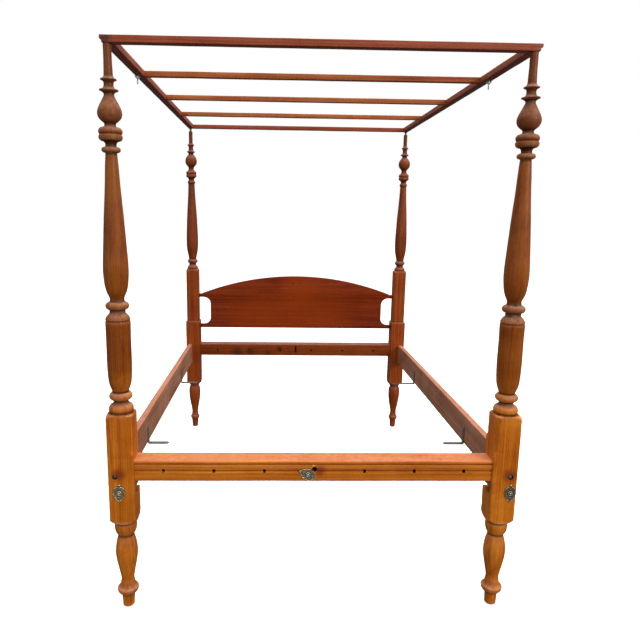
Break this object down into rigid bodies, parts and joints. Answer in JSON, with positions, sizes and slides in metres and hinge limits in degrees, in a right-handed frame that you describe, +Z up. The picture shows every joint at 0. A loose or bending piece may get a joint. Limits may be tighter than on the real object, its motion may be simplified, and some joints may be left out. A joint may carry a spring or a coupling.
{
  "type": "four poster canopy bed",
  "caption": "Four poster bed with turned posts, square end rails, arched headboard and a slatted tester frame resting on pins in the post tops.",
  "frame": {"origin": "on the floor, under the middle of the bed's bounding box", "axes": "+Z up, +Y from the foot of the bed to its head, +X to the right of someone facing the bed from its foot"},
  "size_m": [1.568, 2.11, 2.143],
  "materials": {
    "foot_post_wood": "worn waxed honey-brown hardwood",
    "head_post_wood": "waxed red-brown hardwood",
    "foot_rail_wood": "worn orange-brown hardwood",
    "side_rail_wood": "dull stained softwood plank",
    "headboard_wood": "polished deep red-brown hardwood",
    "plug_wood": "dark wooden plug",
    "tester_wood": "dull red-brown stained wood",
    "slat_wood": "dull orange-brown stained wood",
    "iron": "dark dull wrought iron",
    "screw_steel": "tarnished steel",
    "zinc_steel": "dull zinc-coated steel",
    "cover_brass": "antique tarnished brass"
  },
  "bodies": {
    "bedstead": {"foot_post_left": "foot_post_wood", "foot_post_right": "foot_post_wood", "head_post_left": "head_post_wood", "head_post_right": "head_post_wood", "foot_rail": "foot_rail_wood", "head_rail": "head_post_wood", "side_rail_left": "side_rail_wood", "side_rail_right": "side_rail_wood", "headboard": "headboard_wood", "headboard_plugs": "plug_wood", "hanger_foot_left": "iron", "hanger_head_left": "iron", "hanger_foot_right": "iron", "hanger_head_right": "iron", "hanger_screws": "screw_steel", "side_bed_bolts": "iron", "end_bed_bolts": "iron", "bed_bolt_nuts": "iron", "cover_pins": "cover_brass", "foot_tester_pins": "iron", "head_tester_pins": "iron"},
    "tester": {"tester_front_rail": "tester_wood", "tester_rear_rail": "tester_wood", "tester_side_left_foot": "tester_wood", "tester_side_left_head": "tester_wood", "tester_side_right_foot": "tester_wood", "tester_side_right_head": "tester_wood", "tester_slat_foot": "slat_wood", "tester_slat_middle": "slat_wood", "tester_slat_head": "slat_wood", "tester_corner_nails": "iron", "tester_slat_nails": "iron", "splice_bolt_left": "zinc_steel", "splice_bolt_right": "zinc_steel", "splice_washer_left": "zinc_steel", "splice_washer_right": "zinc_steel"},
    "bolt_cover_left": {"bolt_cover_left": "cover_brass"},
    "bolt_cover_right": {"bolt_cover_right": "cover_brass"},
    "bolt_cover_centre": {"bolt_cover_centre": "cover_brass"},
    "wing_nut_left": {"wing_nut_left": "zinc_steel"},
    "wing_nut_right": {"wing_nut_right": "zinc_steel"}
  },
  "joints": [
    {"name": "bolt_cover_left_swing", "type": "hinge", "parent": "bedstead", "child": "bolt_cover_left", "pos_m": [-0.743, -1.0473, 0.534], "axis": [0, -1, 0], "range_deg": [-180, 180]},
    {"name": "bolt_cover_right_swing", "type": "hinge", "parent": "bedstead", "child": "bolt_cover_right", "pos_m": [0.759, -1.0473, 0.534], "axis": [0, -1, 0], "range_deg": [-180, 180]},
    {"name": "bolt_cover_centre_swing", "type": "hinge", "parent": "bedstead", "child": "bolt_cover_centre", "pos_m": [0.003, -1.0393, 0.563], "axis": [0, -1, 0], "range_deg": [-65, 295]},
    {"name": "tester_lift", "type": "slide", "parent": "bedstead", "child": "tester", "axis": [0, 0, 1], "range_m": [0, 0.06]},
    {"name": "wing_nut_left_spin", "type": "hinge", "parent": "tester", "child": "wing_nut_left", "pos_m": [-0.74, -0.528, 2.112], "axis": [0, 0, 1], "continuous": true},
    {"name": "wing_nut_right_spin", "type": "hinge", "parent": "tester", "child": "wing_nut_right", "pos_m": [0.738, -0.553, 2.112], "axis": [0, 0, 1], "continuous": true}
  ]
}
